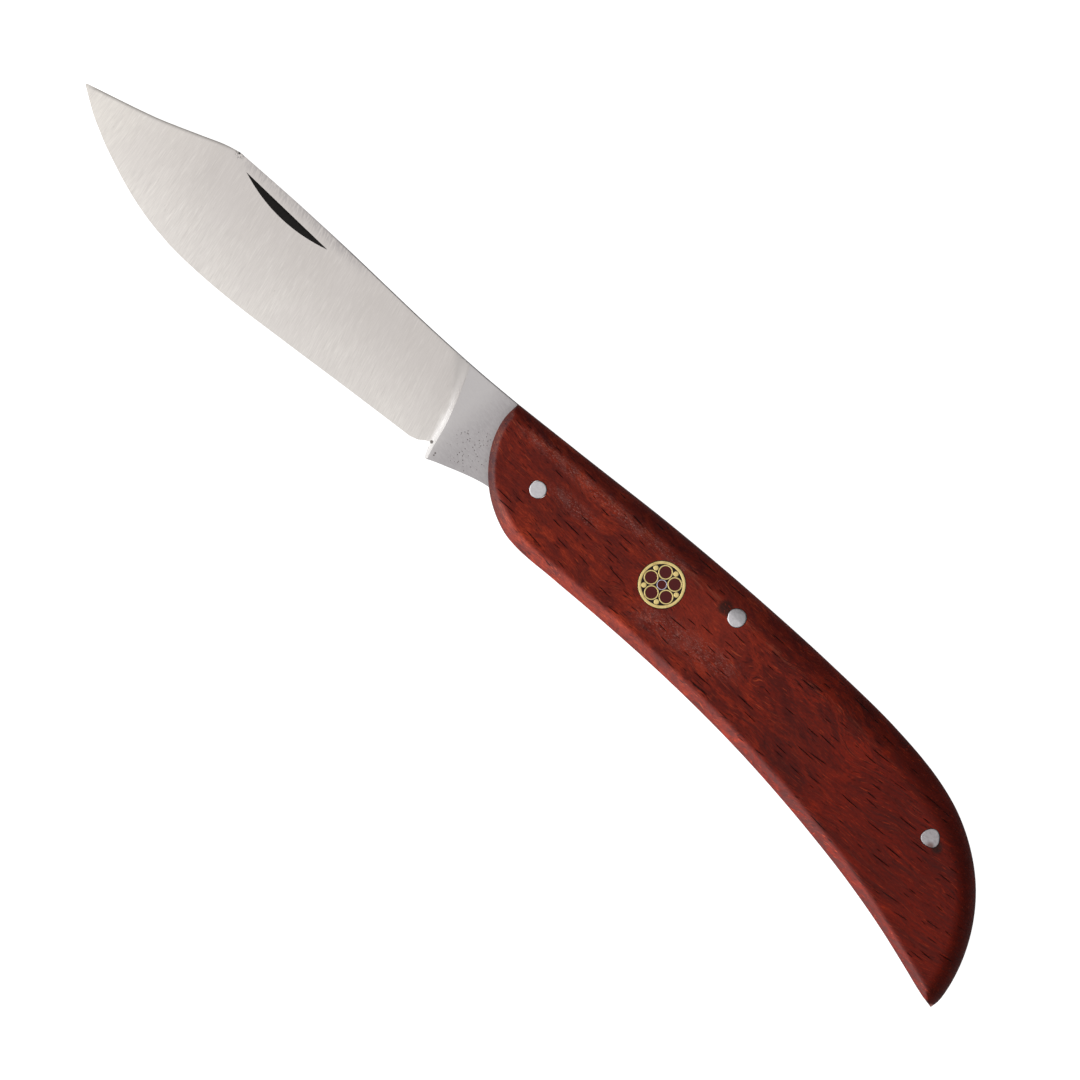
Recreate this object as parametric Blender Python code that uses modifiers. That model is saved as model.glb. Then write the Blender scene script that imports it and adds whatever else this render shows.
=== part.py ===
"""Grafting knife: a folding slip-joint knife with wooden scales and a mosaic inlay.

Metres, +Z up. The knife is open and lies on its right-hand scale. The origin is the middle of
the open knife's footprint, on the face it lies on. +X runs from the blade's tip to the butt,
+Y to the back, and +Z out of the left-hand scale. Outlines and sizes below are in millimetres,
and an outline's points are measured from the pivot pin's axis.
"""

import math

import bmesh
import bpy
from mathutils import Vector

MM = 0.001

# Layers, from the face the knife lies on upwards.
SCALE_THICKNESS = 4.0
LINER_THICKNESS = 1.0
BLADE_SPACE = 3.0
GLUE_GAP = 0.02
BLADE_THICKNESS = 2.9
SPRING_THICKNESS = 2.94
SCALE_EDGE_ROUNDING = 1.8

LINER_RIGHT_Z = SCALE_THICKNESS
SPACE_Z = LINER_RIGHT_Z + LINER_THICKNESS
LINER_LEFT_Z = SPACE_Z + BLADE_SPACE
SCALE_LEFT_Z = LINER_LEFT_Z + LINER_THICKNESS
HANDLE_THICKNESS = SCALE_LEFT_Z + SCALE_THICKNESS
MID_Z = HANDLE_THICKNESS / 2

# Pins: three rods of the same stock, peened flush with the scales.
PIN_RADIUS = 1.5
PIN_SEGMENTS = 48
PIN_FIT = 0.03
BLADE_BORE_RADIUS = 1.55
SPRING_CENTRE_HOLE_RADIUS = 1.8
PIVOT = (0.0, 0.0)
CENTRE_PIN = (37.8, 9.85)
BUTT_PIN = (86.25, 8.85)
PIVOT_FROM_ORIGIN = (-3.43, 0.36)

# Blade: the angle it folds through, and the tang's cam that the back spring bears on.
CLOSED_ANGLE = math.radians(171)
TANG_FLAT = 4.7
TANG_CORNER_RADIUS = 4.85
TANG_CORNER_STEPS = 14
TANG_NOTCH_X = -2.75
SPRING_LAND_Y = 4.9
SPRING_FRONT_X = -2.65
EDGE_HALF_THICKNESS = 0.12
SPINE_HALF_THICKNESS = 1.4
CLIP_HALF_THICKNESS = 1.15
TIP_HALF_THICKNESS = 0.7

# Nail nick: the groove that a tilted grinding wheel leaves in the blade's left face.
NICK_LOWEST = (-62.05, 0.75, 0.48)
NICK_DIRECTION = math.radians(3.6)
NICK_WHEEL_RADIUS = 55.0
NICK_WHEEL_WIDTH = 2.4
NICK_WHEEL_TAPER = 1.65
NICK_WHEEL_TILT = math.radians(14)

# Mosaic inlay: a slice of mosaic rod let into each scale, down to the liner.
INLAY_CENTRE = (25.4, 4.45)
INLAY_RADIUS = 3.95
INLAY_WALL = 0.5
INLAY_FLOOR = 0.5
INLAY_COUNT = 5
INLAY_TURN = math.radians(48.3)
CELL_RING_RADIUS = 2.15
CELL_RADIUS = 1.235
CELL_WALL = 0.22
ROD_RING_RADIUS = 2.94
ROD_RADIUS = 0.44
CORE_RADIUS = 0.85
CORE_WALL = 0.13
CELL_SEGMENTS = 24
ROD_SEGMENTS = 12

# Outlines, as anchors that a smooth curve passes through.
BLADE_SPINE = [(-74.6, 1.4), (-61, 2.82), (-49, 3.8), (-34, 4.8), (-22, 5.9), (-10, 7.5), (-2.75, 8.65)]
BLADE_CLIP = [(-100.3, -9.6), (-94, -7.2), (-88, -4.8), (-81, -1.4), (-76.4, 0.8), (-74.6, 1.4)]
BLADE_EDGE = [(-20.9, -9.7), (-34, -12.06), (-46, -14.3), (-58, -16.4), (-66, -17.35), (-72, -17.62),
              (-79, -17.08), (-88, -15.02), (-95, -12.6), (-100.3, -9.9)]
BLADE_HEEL = [(-17.95, -7.85), (-18.6, -8.25), (-19.6, -9.12), (-20.9, -9.7)]
BLADE_KICK = [(-4.7, -5.5), (-7, -6.08), (-10, -7.22), (-13, -8.6), (-15.6, -9.86), (-16.6, -10.45)]
KICK_FRONT = [(-16.6, -10.45), (-17.3, -9.3), (-17.95, -7.85)]
HANDLE_BACK = [(-12.6, 7.1), (2, 9.42), (20, 12.32), (38, 14.58), (56, 16.22), (71, 16.88),
               (80, 16.36), (86.5, 14.94), (92, 12.56), (97, 9.2), (101, 5.12), (104, 0.64),
               (105.6, -2.75), (106.7, -6.1), (107.15, -8.7), (107.0, -10.1)]
HANDLE_BELLY = [(107.0, -10.1), (104, -9.75), (100, -8.95), (92, -7.42), (82, -6.08), (71, -5.24),
                (56, -4.8), (38, -5.48), (23, -6.9), (11, -8.38), (5, -9.1), (1.6, -8.95), (-1.1, -8.2),
                (-4.8, -6.4), (-8.9, -2.9), (-11.3, 0.6), (-12.5, 4.2), (-12.6, 7.1)]
SPRING_TAIL = [(103.0, -9.3), (101.9, -5.5), (100.3, -0.5), (96.8, 3.8), (91.5, 6.0), (86, 5.7), (80, 7.2),
               (72, 10.2), (60, 11.4), (49, 10.4), (42.5, 7.7), (37.8, 6.95), (33, 7.9), (28, 9.5),
               (22, 9.1), (18, 8.05), (12, 7.3), (7, 6.4), (2.6, 4.9)]

# The grind's guides: where each station meets the spine and the edge, and the half thicknesses there.
# Behind the plunge they stand outside the plate, so the ricasso keeps its full thickness.
PLUNGE_SPINE_HALF = 1.9
PLUNGE_HEEL_HALF = 1.7
TANG_GUIDE_HALF = 2.0
GRIND = [
    ((-110.0, -13.5), (-110.0, -14.5), TIP_HALF_THICKNESS, EDGE_HALF_THICKNESS),
    ((-100.3, -9.5), (-100.3, -11.0), TIP_HALF_THICKNESS, EDGE_HALF_THICKNESS),
    ((-88.0, -4.8), (-88.0, -15.0), CLIP_HALF_THICKNESS, EDGE_HALF_THICKNESS),
    ((-74.6, 1.4), (-73.0, -17.6), SPINE_HALF_THICKNESS, EDGE_HALF_THICKNESS),
    ((-58.0, 3.1), (-57.0, -16.2), SPINE_HALF_THICKNESS, EDGE_HALF_THICKNESS),
    ((-42.0, 4.3), (-40.5, -13.2), SPINE_HALF_THICKNESS, EDGE_HALF_THICKNESS),
    ((-24.0, 5.7), (-19.4, -9.2), SPINE_HALF_THICKNESS, EDGE_HALF_THICKNESS),
    ((-22.0, 5.9), (-17.5, -8.3), PLUNGE_SPINE_HALF, PLUNGE_HEEL_HALF),
    ((12.0, 9.0), (12.0, -9.0), TANG_GUIDE_HALF, TANG_GUIDE_HALF),
]
GRIND_MARGIN = 30.0

PARTS = "grafting_knife"
CUTTERS = "cutters"


def clear_scene():
    for old in list(bpy.data.objects):
        bpy.data.objects.remove(old)
    for name in (PARTS, CUTTERS):
        bpy.context.scene.collection.children.link(bpy.data.collections.new(name))


def make_material(name, color, roughness, metallic):
    material = bpy.data.materials.new(name)
    material.use_nodes = True
    shader = material.node_tree.nodes["Principled BSDF"]
    shader.inputs["Base Color"].default_value = (*color, 1.0)
    shader.inputs["Roughness"].default_value = roughness
    shader.inputs["Metallic"].default_value = metallic
    material.diffuse_color = (*color, 1.0)
    return material


# Outlines

def smooth(anchors, step):
    """Points about step apart on a smooth curve through the anchors, both ends included."""
    knots = [Vector(anchor) for anchor in anchors]
    gaps = [(b - a).length for a, b in zip(knots, knots[1:])]
    slopes = [(b - a) / gap for a, b, gap in zip(knots, knots[1:], gaps)]
    tangents = [slopes[0]]
    for before, after, gap_before, gap_after in zip(slopes, slopes[1:], gaps, gaps[1:]):
        tangents.append((before * gap_after + after * gap_before) / (gap_before + gap_after))
    tangents.append(slopes[-1])
    points = []
    for i, gap in enumerate(gaps):
        count = max(1, round(gap / step))
        for k in range(count):
            s = k / count
            start_weight = 1 - s * s * (3 - 2 * s)
            bend_in = s * (1 - s) ** 2 * gap
            bend_out = -s * s * (1 - s) * gap
            points.append(knots[i] * start_weight + knots[i + 1] * (1 - start_weight)
                          + tangents[i] * bend_in + tangents[i + 1] * bend_out)
    return points + [knots[-1]]


def arc(centre, radius, start, end, count):
    """count + 1 points on an arc, angles in radians."""
    points = []
    for k in range(count + 1):
        angle = start + (end - start) * k / count
        points.append(Vector((centre[0] + radius * math.cos(angle), centre[1] + radius * math.sin(angle))))
    return points


def circle(centre, radius, segments=PIN_SEGMENTS):
    return arc(centre, radius, 0, 2 * math.pi, segments)[:-1]


def turned(point, angle):
    x, y = point
    return Vector((x * math.cos(angle) - y * math.sin(angle), x * math.sin(angle) + y * math.cos(angle)))


def joined(*lines):
    """One closed outline from lines that run end to end."""
    points = []
    for line in lines:
        for point in line:
            if not points or (point - points[-1]).length > 1e-4:
                points.append(point)
    if (points[0] - points[-1]).length < 1e-4:
        points.pop()
    return points


def handle_outline():
    return joined(smooth(HANDLE_BACK, 5.0), smooth(HANDLE_BELLY, 4.0))


def blade_outline():
    """The blade and its tang. The tang's flats face the spring when the knife is open and closed."""
    flat_half = math.sqrt(TANG_CORNER_RADIUS ** 2 - TANG_FLAT ** 2)
    notch = [Vector((TANG_NOTCH_X, BLADE_SPINE[-1][1])), Vector((TANG_NOTCH_X, TANG_FLAT))]
    corner_angle = math.atan2(TANG_FLAT, flat_half)
    closed_start = turned((-flat_half, TANG_FLAT), -CLOSED_ANGLE)
    closed_angle = math.atan2(closed_start.y, closed_start.x)
    rear = arc(PIVOT, TANG_CORNER_RADIUS, corner_angle, closed_angle, TANG_CORNER_STEPS)
    return joined(
        smooth(BLADE_CLIP, 4.0),
        smooth(BLADE_SPINE, 8.0),
        notch,
        rear,
        smooth(BLADE_KICK, 1.6),
        smooth(KICK_FRONT, 1.2),
        smooth(BLADE_HEEL, 1.0),
        smooth(BLADE_EDGE, 4.0),
    )


def spring_outline():
    """The back spring: its back follows the handle, and its tail closes the butt."""
    back = [point for point in smooth(HANDLE_BACK, 5.0) if point.x > SPRING_FRONT_X + 2]
    land = [Vector((SPRING_FRONT_X, SPRING_LAND_Y)), Vector((SPRING_FRONT_X, BLADE_SPINE[-1][1]))]
    return joined(land, back, smooth(HANDLE_BELLY, 4.0)[1:2], smooth(SPRING_TAIL, 3.0))


# Solids

def add_object(name, mesh, material, collection=PARTS):
    obj = bpy.data.objects.new(name, mesh)
    bpy.data.collections[collection].objects.link(obj)
    if material:
        mesh.materials.append(material)
    return obj


def place(obj, parent, x=0.0, y=0.0, z=0.0):
    obj.location = (x * MM, y * MM, z * MM)
    obj.parent = parent
    return obj


def finish_mesh(mesh):
    """Weld a mesh, turn its faces outwards and shade its round walls smooth."""
    bm = bmesh.new()
    bm.from_mesh(mesh)
    bmesh.ops.remove_doubles(bm, verts=bm.verts, dist=1e-7)
    bmesh.ops.recalc_face_normals(bm, faces=bm.faces)
    bm.to_mesh(mesh)
    bm.free()
    mesh.shade_smooth()
    mesh.set_sharp_from_angle(angle=math.radians(30))


def plate(name, loops, thickness, material, collection=PARTS, origin=(0.0, 0.0)):
    """A flat piece of even thickness, centred on its own z = 0. Loops inside the first are holes."""
    curve = bpy.data.curves.new(name, "CURVE")
    curve.dimensions = "2D"
    curve.fill_mode = "BOTH"
    curve.extrude = thickness / 2 * MM
    for loop in loops:
        spline = curve.splines.new("POLY")
        spline.points.add(len(loop) - 1)
        spline.use_cyclic_u = True
        for target, point in zip(spline.points, loop):
            target.co = ((point[0] - origin[0]) * MM, (point[1] - origin[1]) * MM, 0, 1)
    guide = bpy.data.objects.new(name + "_curve", curve)
    bpy.context.scene.collection.objects.link(guide)
    mesh = bpy.data.meshes.new_from_object(guide.evaluated_get(bpy.context.evaluated_depsgraph_get()))
    bpy.data.objects.remove(guide)
    finish_mesh(mesh)
    mesh.materials.clear()
    return add_object(name, mesh, material, collection)


def cylinder(name, radius, length, material, collection=PARTS, segments=PIN_SEGMENTS, top_radius=None):
    mesh = bpy.data.meshes.new(name)
    bm = bmesh.new()
    top = radius if top_radius is None else top_radius
    bmesh.ops.create_cone(bm, cap_ends=True, segments=segments, radius1=radius * MM, radius2=top * MM,
                          depth=length * MM)
    bm.to_mesh(mesh)
    bm.free()
    finish_mesh(mesh)
    return add_object(name, mesh, material, collection)


def loft(name, sections, material, collection=PARTS):
    """A solid through closed sections, each a list of (x, y, z) in millimetres."""
    bm = bmesh.new()
    rows = [[bm.verts.new(Vector(point) * MM) for point in section] for section in sections]
    for row, following in zip(rows, rows[1:]):
        for k in range(len(row)):
            after = (k + 1) % len(row)
            bm.faces.new((row[k], row[after], following[after], following[k]))
    bm.faces.new(rows[0])
    bm.faces.new(reversed(rows[-1]))
    mesh = bpy.data.meshes.new(name)
    bm.to_mesh(mesh)
    bm.free()
    finish_mesh(mesh)
    return add_object(name, mesh, material, collection)


def cut(obj, cutter, operation="DIFFERENCE"):
    """A Boolean on obj. The cutter stays in the scene, out of the render."""
    cutter.hide_render = True
    cutter.display_type = "WIRE"
    modifier = obj.modifiers.new(cutter.name, "BOOLEAN")
    modifier.operation = operation
    modifier.object = cutter
    return modifier


def round_outer_rim(obj, outward):
    """Round the rim of a plate's outer face. outward is +1 for its top face, -1 for its bottom."""
    mesh = obj.data
    bm = bmesh.new()
    bm.from_mesh(mesh)
    top = [face for face in bm.faces if face.normal.z > 0.9]
    bottom = [face for face in bm.faces if face.normal.z < -0.9]
    for cap in (top, bottom):
        bmesh.ops.dissolve_faces(bm, faces=cap)
    weights = bm.edges.layers.float.new("bevel_weight_edge")
    for edge in bm.edges:
        heights = [vert.co.z * outward for vert in edge.verts]
        if min(heights) > 0:
            edge[weights] = 1.0
    bm.to_mesh(mesh)
    bm.free()
    bevel = obj.modifiers.new("rounded_rim", "BEVEL")
    bevel.limit_method = "WEIGHT"
    bevel.width = SCALE_EDGE_ROUNDING * MM
    bevel.segments = 3


# Sub-parts

def add_liner(name, z, frame, material):
    holes = [circle(spot, PIN_RADIUS + PIN_FIT) for spot in (PIVOT, CENTRE_PIN, BUTT_PIN)]
    liner = plate(name, [handle_outline(), *holes], LINER_THICKNESS - GLUE_GAP, material)
    place(liner, frame, z=z + LINER_THICKNESS / 2)


def add_scale(name, outward, z, frame, material):
    """A wooden scale, drilled for the pins and bored for its inlay."""
    scale = plate(name, [handle_outline()], SCALE_THICKNESS - GLUE_GAP / 2, material)
    round_outer_rim(scale, outward)
    middle = z + SCALE_THICKNESS / 2 + outward * GLUE_GAP / 4
    place(scale, frame, z=middle)
    bores = [("pivot", PIVOT, PIN_RADIUS), ("centre", CENTRE_PIN, PIN_RADIUS),
             ("butt", BUTT_PIN, PIN_RADIUS), ("inlay", INLAY_CENTRE, INLAY_RADIUS)]
    for label, spot, radius in bores:
        drill = cylinder(f"{name}_{label}_drill", radius + PIN_FIT, 3 * SCALE_THICKNESS, None, CUTTERS)
        place(drill, frame, spot[0], spot[1], middle)
        cut(scale, drill)


def add_pin(name, spot, frame, material):
    pin = cylinder(name, PIN_RADIUS, HANDLE_THICKNESS, material)
    place(pin, frame, spot[0], spot[1], MID_Z)


def add_inlay(prefix, floor_z, outward, frame, brass, steel, resin):
    """One slice of mosaic rod: a sleeve, five filled tubes, five rods and a core set in resin."""
    length = SCALE_THICKNESS - GLUE_GAP
    slug_z = floor_z + outward * (GLUE_GAP + length) / 2
    slug_z += outward * GLUE_GAP / 2
    fill_length = length - INLAY_FLOOR
    fill_z = slug_z + outward * INLAY_FLOOR / 2

    def ring_spot(ring_radius, k, half_step=0.0):
        angle = outward * (INLAY_TURN + (k + half_step) * 2 * math.pi / INLAY_COUNT)
        return (ring_radius * math.cos(angle), ring_radius * math.sin(angle))

    def set_piece(name, loops, material, piece_length, z):
        piece = plate(f"{prefix}_{name}", loops, piece_length, material)
        place(piece, frame, INLAY_CENTRE[0], INLAY_CENTRE[1], z)
        return piece

    inner_radius = INLAY_RADIUS - INLAY_WALL
    set_piece("sleeve", [circle(PIVOT, INLAY_RADIUS), circle(PIVOT, inner_radius)], brass, length, slug_z)
    grooves = [circle(PIVOT, CORE_RADIUS + GLUE_GAP, CELL_SEGMENTS),
               circle(PIVOT, CORE_RADIUS - CORE_WALL - GLUE_GAP, CELL_SEGMENTS)]
    core = [circle(PIVOT, radius, CELL_SEGMENTS) for radius in (CORE_RADIUS, CORE_RADIUS - CORE_WALL)]
    set_piece("core_tube", core, steel, fill_length - GLUE_GAP, fill_z + outward * GLUE_GAP / 2)
    for k in range(INLAY_COUNT):
        cell = ring_spot(CELL_RING_RADIUS, k)
        loops = [circle(cell, radius, CELL_SEGMENTS) for radius in (CELL_RADIUS, CELL_RADIUS - CELL_WALL)]
        set_piece(f"tube_{k + 1}", loops, brass, fill_length - GLUE_GAP, fill_z + outward * GLUE_GAP / 2)
        rod = ring_spot(ROD_RING_RADIUS, k, 0.5)
        rod_loop = [circle(rod, ROD_RADIUS, ROD_SEGMENTS)]
        set_piece(f"rod_{k + 1}", rod_loop, brass, fill_length - GLUE_GAP, fill_z + outward * GLUE_GAP / 2)
        grooves += [circle(cell, CELL_RADIUS + GLUE_GAP, CELL_SEGMENTS),
                    circle(cell, CELL_RADIUS - CELL_WALL - GLUE_GAP, CELL_SEGMENTS),
                    circle(rod, ROD_RADIUS + GLUE_GAP, ROD_SEGMENTS)]
    fill = set_piece("resin", [circle(PIVOT, inner_radius - GLUE_GAP)], resin, length, slug_z)
    groove_cutter = plate(f"{prefix}_grooves", grooves, 2 * fill_length, None, CUTTERS)
    place(groove_cutter, frame, INLAY_CENTRE[0], INLAY_CENTRE[1], fill_z + outward * fill_length / 2)
    cut(fill, groove_cutter)


def nail_nick_wheel(pivot):
    """A tapered wheel, tilted so that its full-radius face leaves the nick's steep, straight wall."""
    wheel = cylinder("nail_nick_wheel", NICK_WHEEL_RADIUS, NICK_WHEEL_WIDTH, None, CUTTERS, segments=320,
                     top_radius=NICK_WHEEL_RADIUS - NICK_WHEEL_TAPER)
    wheel.rotation_euler = (math.pi / 2 + NICK_WHEEL_TILT, 0, NICK_DIRECTION)
    lean = math.sin(NICK_WHEEL_TILT)
    rise = math.cos(NICK_WHEEL_TILT)
    back = NICK_WHEEL_WIDTH / 2 * rise + NICK_WHEEL_RADIUS * lean
    height = NICK_WHEEL_RADIUS * rise - NICK_WHEEL_WIDTH / 2 * lean
    x, y, z = NICK_LOWEST
    offset = turned((0, -back), NICK_DIRECTION)
    return place(wheel, pivot, x + offset.x, y + offset.y, MID_Z + z + height)


def add_blade(pivot, material):
    """The blade turns on the pivot. Its grind is the plate's overlap with a tapering envelope."""
    bore = circle(PIVOT, BLADE_BORE_RADIUS)
    blade = plate("blade", [blade_outline(), bore], BLADE_THICKNESS, material)
    place(blade, pivot, z=MID_Z)
    sections = []
    for (spine_x, spine_y), (edge_x, edge_y), spine_half, edge_half in GRIND:
        profile = [(spine_x, spine_y + GRIND_MARGIN, spine_half), (spine_x, spine_y, spine_half),
                   (edge_x, edge_y, edge_half), (edge_x, edge_y - GRIND_MARGIN, edge_half)]
        other_side = [(x, y, -half) for x, y, half in reversed(profile)]
        sections.append(profile + other_side)
    grind = loft("blade_grind", sections, None, CUTTERS)
    place(grind, pivot, z=MID_Z)
    cut(blade, grind, "INTERSECT")
    cut(blade, nail_nick_wheel(pivot))


def add_back_spring(hinge, material):
    """The spring is held by the butt pin and bears on the tang; its centre hole leaves room to flex."""
    holes = [circle(CENTRE_PIN, SPRING_CENTRE_HOLE_RADIUS), circle(BUTT_PIN, PIN_RADIUS + PIN_FIT)]
    spring = plate("back_spring", [spring_outline(), *holes], SPRING_THICKNESS, material, origin=BUTT_PIN)
    place(spring, hinge, z=MID_Z)


def add_empty(name, x, y, parent=None):
    empty = bpy.data.objects.new(name, None)
    empty.empty_display_size = 5 * MM
    bpy.context.scene.collection.objects.link(empty)
    return place(empty, parent, x, y)


def main():
    clear_scene()
    blade_steel = make_material("blade_steel", (0.66, 0.65, 0.64), 0.32, 1.0)
    frame_steel = make_material("frame_steel", (0.55, 0.54, 0.53), 0.35, 1.0)
    pin_steel = make_material("pin_steel", (0.62, 0.61, 0.61), 0.3, 1.0)
    wood = make_material("red_brown_wood", (0.168, 0.018, 0.011), 0.45, 0.0)
    brass = make_material("inlay_brass", (0.68, 0.52, 0.20), 0.3, 1.0)
    resin = make_material("inlay_resin", (0.035, 0.008, 0.008), 0.25, 0.0)

    frame = add_empty("pivot_axis", *PIVOT_FROM_ORIGIN)
    spring_hinge = add_empty("spring_hinge", *BUTT_PIN, parent=frame)

    add_blade(frame, blade_steel)
    add_back_spring(spring_hinge, frame_steel)
    add_liner("liner_right", LINER_RIGHT_Z, frame, frame_steel)
    add_liner("liner_left", LINER_LEFT_Z, frame, frame_steel)
    add_scale("scale_right", -1, 0.0, frame, wood)
    add_scale("scale_left", 1, SCALE_LEFT_Z, frame, wood)
    for name, spot in (("pivot_pin", PIVOT), ("centre_pin", CENTRE_PIN), ("butt_pin", BUTT_PIN)):
        add_pin(name, spot, frame, pin_steel)
    add_inlay("inlay_right", SCALE_THICKNESS, -1, frame, brass, pin_steel, resin)
    add_inlay("inlay_left", SCALE_LEFT_Z, 1, frame, brass, pin_steel, resin)


main()
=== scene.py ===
import math
import random

import bmesh
import bpy
import numpy as np
from mathutils import Matrix, Vector
from mathutils.geometry import delaunay_2d_cdt


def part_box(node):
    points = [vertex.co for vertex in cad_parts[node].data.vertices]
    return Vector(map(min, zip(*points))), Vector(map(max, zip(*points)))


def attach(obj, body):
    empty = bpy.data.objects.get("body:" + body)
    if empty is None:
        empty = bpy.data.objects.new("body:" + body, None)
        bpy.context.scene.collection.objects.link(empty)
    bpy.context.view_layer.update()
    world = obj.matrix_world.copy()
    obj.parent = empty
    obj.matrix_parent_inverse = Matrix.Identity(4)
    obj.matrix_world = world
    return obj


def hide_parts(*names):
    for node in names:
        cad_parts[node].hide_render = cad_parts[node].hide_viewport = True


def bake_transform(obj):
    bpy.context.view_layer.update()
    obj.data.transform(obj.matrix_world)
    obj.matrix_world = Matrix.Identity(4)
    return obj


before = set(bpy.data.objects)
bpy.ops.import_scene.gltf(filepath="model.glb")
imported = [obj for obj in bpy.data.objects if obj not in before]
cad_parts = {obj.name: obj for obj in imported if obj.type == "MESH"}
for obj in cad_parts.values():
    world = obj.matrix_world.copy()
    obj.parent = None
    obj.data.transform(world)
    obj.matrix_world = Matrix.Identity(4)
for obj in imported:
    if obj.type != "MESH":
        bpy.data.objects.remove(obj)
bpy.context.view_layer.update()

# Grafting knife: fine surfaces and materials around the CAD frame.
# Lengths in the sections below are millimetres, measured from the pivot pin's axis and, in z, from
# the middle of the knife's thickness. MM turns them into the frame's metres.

MM = 0.001


def node_middle(node):
    low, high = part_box(node)
    return (low + high) / 2


PIVOT = node_middle("pivot_pin")


def spot(node):
    """The middle of a CAD node, in plan, in millimetres from the pivot."""
    place = (node_middle(node) - PIVOT) / MM
    return np.array((place.x, place.y))


def plan_radius(node):
    low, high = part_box(node)
    return (high.x - low.x) / 2 / MM


def levels(node):
    """The lowest and highest z of a CAD node, in millimetres from the middle of the knife."""
    low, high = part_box(node)
    return (low.z - PIVOT.z) / MM, (high.z - PIVOT.z) / MM


def put_in_scene(name, data):
    item = bpy.data.objects.new(name, data)
    bpy.context.scene.collection.objects.link(item)
    return item


CENTRE_PIN = spot("centre_pin")
BUTT_PIN = spot("butt_pin")


# -------- outlines

CORNER_ANGLE = math.radians(30)


def plan_loops(node):
    """The outlines of a CAD node seen from +Z, as (n, 2) arrays, the largest first."""
    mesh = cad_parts[node].data
    places = {}
    edges = {}
    for polygon in mesh.polygons:
        if polygon.normal.z < 0.02:
            continue
        keys = []
        for index in polygon.vertices:
            place = (mesh.vertices[index].co - PIVOT) / MM
            key = (round(place.x, 3), round(place.y, 3))
            places[key] = (place.x, place.y)
            keys.append(key)
        for start, end in zip(keys, keys[1:] + keys[:1]):
            edges[(start, end)] = edges.get((start, end), 0) + 1
    following = {start: end for (start, end), count in edges.items() if count > edges.get((end, start), 0)}
    loops = []
    while following:
        key, after = following.popitem()
        loop = [key]
        while after in following:
            loop.append(after)
            after = following.pop(after)
        loops.append(np.array([places[k] for k in loop]))
    return sorted(loops, key=lambda loop: -abs(area(loop)))


def area(loop):
    x, y = loop[:, 0], loop[:, 1]
    return float(np.sum(x * np.roll(y, -1) - np.roll(x, -1) * y)) / 2


def corners(loop, least):
    """Indices where a closed loop turns by more than the least angle."""
    before = loop - np.roll(loop, 1, axis=0)
    after = np.roll(loop, -1, axis=0) - loop
    cross = before[:, 0] * after[:, 1] - before[:, 1] * after[:, 0]
    turn = np.abs(np.arctan2(cross, np.sum(before * after, axis=1)))
    return [int(i) for i in np.nonzero(turn > least)[0]]


def smooth(knots, step):
    """Points about step apart on a smooth curve through the knots, without the last knot."""
    knots = np.asarray(knots, float)
    gaps = np.linalg.norm(np.diff(knots, axis=0), axis=1)
    slopes = np.diff(knots, axis=0) / gaps[:, None]
    inner = (slopes[:-1] * gaps[1:, None] + slopes[1:] * gaps[:-1, None]) / (gaps[:-1] + gaps[1:])[:, None]
    tangents = np.vstack([slopes[:1], inner, slopes[-1:]])
    points = []
    for i, gap in enumerate(gaps):
        count = max(1, round(gap / step))
        for s in np.arange(count) / count:
            weight = s * s * (3 - 2 * s)
            points.append(knots[i] * (1 - weight) + knots[i + 1] * weight
                          + tangents[i] * s * (1 - s) ** 2 * gap - tangents[i + 1] * s * s * (1 - s) * gap)
    return np.array(points)


def refined(loop, step, least=CORNER_ANGLE):
    """A closed loop redrawn with short steps, smooth between its corners. It runs anticlockwise."""
    if area(loop) < 0:
        loop = loop[::-1]
    marks = corners(loop, least)
    if not marks:
        wrapped = np.vstack([loop[-2:], loop, loop[:3]])
        fine = smooth(wrapped, step)
        first = np.argmin(np.linalg.norm(fine - loop[0], axis=1))
        last = first + np.argmin(np.linalg.norm(fine[first + 5:] - loop[0], axis=1)) + 5
        return fine[first:last]
    loop = np.roll(loop, -marks[0], axis=0)
    marks = [mark - marks[0] for mark in marks] + [len(loop)]
    closed = np.vstack([loop, loop[:1]])
    return np.vstack([smooth(closed[a:b + 1], step) for a, b in zip(marks, marks[1:])])


def ring(centre, radius, count):
    """A closed ring. radius is a number, or a function of the angle."""
    angles = np.arange(count) * 2 * math.pi / count
    sizes = np.array([radius(a) if callable(radius) else radius for a in angles])
    return np.column_stack([centre[0] + sizes * np.cos(angles), centre[1] + sizes * np.sin(angles)])


def nearest_index(loop, place):
    return int(np.argmin(np.linalg.norm(loop - np.array(place), axis=1)))


def between(loop, start, end):
    """The part of a closed loop from the point nearest to one place, round to another."""
    loop = np.roll(loop, -nearest_index(loop, start), axis=0)
    return loop[:nearest_index(loop, end) + 1]


def nearest_on(points, line, closed=True):
    """Each point's distance to a line, and the nearest place on the line."""
    starts = line if closed else line[:-1]
    ends = np.roll(line, -1, axis=0) if closed else line[1:]
    best = np.full(len(points), 1e9)
    nearest = np.zeros((len(points), 2))
    for start, end in zip(starts, ends):
        along = end - start
        share = np.clip((points - start) @ along / (along @ along), 0, 1)
        near = start + share[:, None] * along
        distance = np.linalg.norm(points - near, axis=1)
        closer = distance < best
        best[closer] = distance[closer]
        nearest[closer] = near[closer]
    return best, nearest


def distance_to(points, line, closed=True):
    return nearest_on(points, line, closed)[0]


def inside(points, loop):
    """Which points lie within a closed loop."""
    result = np.zeros(len(points), bool)
    x, y = points[:, 0], points[:, 1]
    for (x0, y0), (x1, y1) in zip(loop, np.roll(loop, -1, axis=0)):
        if y0 == y1:
            continue
        crosses = ((y0 > y) != (y1 > y)) & (x < (x1 - x0) * (y - y0) / (y1 - y0) + x0)
        result ^= crosses
    return result


def step_between(low, high, value):
    """0 below low, 1 above high, smooth between."""
    share = np.clip((value - low) / (high - low), 0, 1)
    return share * share * (3 - 2 * share)


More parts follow.
